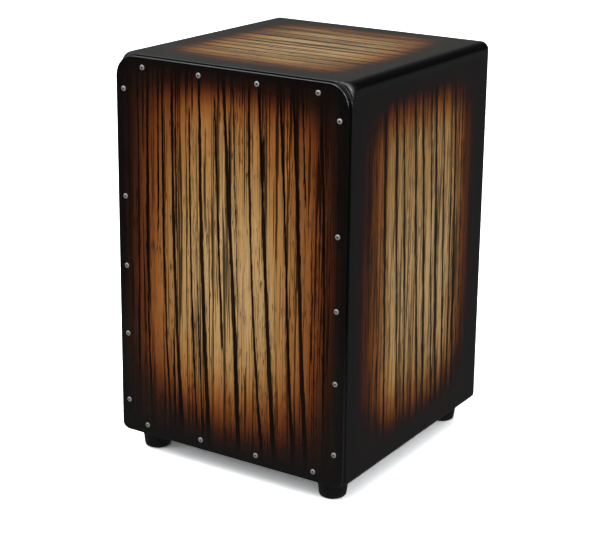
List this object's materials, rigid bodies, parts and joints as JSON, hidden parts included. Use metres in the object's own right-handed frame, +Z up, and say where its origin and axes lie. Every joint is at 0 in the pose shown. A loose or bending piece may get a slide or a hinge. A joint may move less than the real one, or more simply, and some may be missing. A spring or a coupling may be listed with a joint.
{
  "type": "cajon",
  "caption": "Box drum to sit on and play by hand: thin screwed-on playing plate with rounded upper corners, sound port in the back, sprung snare wires inside, rubber feet.",
  "frame": {"origin": "on the floor under the middle of the box, at the centre of the overall footprint", "axes": "+Z up, the playing plate faces -Y, the sound port faces +Y, +X is to the right of someone facing the plate"},
  "size_m": [0.3, 0.322, 0.468],
  "materials": {
    "plate_veneer": "glossy dark striped veneer, black towards the edges",
    "seat_veneer": "matt, finely textured coat over dark striped veneer, black towards the edges",
    "side_veneer": "satin dark striped veneer, black towards the edges",
    "back_panel": "satin black on wood",
    "raw_panel": "matt black on wood",
    "raw_wood": "bare, sawn",
    "clip_steel": "zinc plated sheet",
    "wire_steel": "bright coiled wire",
    "screw_steel": "nickel plated",
    "back_screw_steel": "black",
    "foot_rubber": "matt black"
  },
  "bodies": {
    "box": {"seat_panel": "seat_veneer", "side_panel_left": "side_veneer", "side_panel_right": "side_veneer", "bottom_panel": "raw_panel", "back_panel": "back_panel", "playing_plate": "plate_veneer", "glue_block_top_left": "raw_wood", "glue_block_top_right": "raw_wood", "glue_block_bottom_left": "raw_wood", "glue_block_bottom_right": "raw_wood", "back_batten_left": "raw_wood", "back_batten_right": "raw_wood", "back_batten_top": "raw_wood", "back_batten_bottom": "raw_wood", "snare_bar": "raw_wood", "snare_cleat_left": "raw_wood", "snare_cleat_right": "raw_wood", "snare_clip_left": "clip_steel", "snare_clip_right": "clip_steel", "snare_clip_screws": "screw_steel", "snare_bar_screws": "screw_steel", "plate_screws": "screw_steel", "back_panel_screws": "back_screw_steel", "foot_front_left": "foot_rubber", "foot_front_right": "foot_rubber", "foot_rear_left": "foot_rubber", "foot_rear_right": "foot_rubber", "foot_washers": "screw_steel", "foot_screws": "screw_steel"},
    "snare_set_left": {"snare_wires_left": "wire_steel"},
    "snare_set_right": {"snare_wires_right": "wire_steel"}
  },
  "joints": [
    {"name": "snare_left_lift", "type": "hinge", "parent": "box", "child": "snare_set_left", "pos_m": [-0.068, -0.13295, 0.345], "axis": [-1, 0, 0], "range_deg": [0, 4], "stiffness_Nm_per_rad": 0.05},
    {"name": "snare_right_lift", "type": "hinge", "parent": "box", "child": "snare_set_right", "pos_m": [0.068, -0.13295, 0.345], "axis": [-1, 0, 0], "range_deg": [0, 4], "stiffness_Nm_per_rad": 0.05}
  ]
}
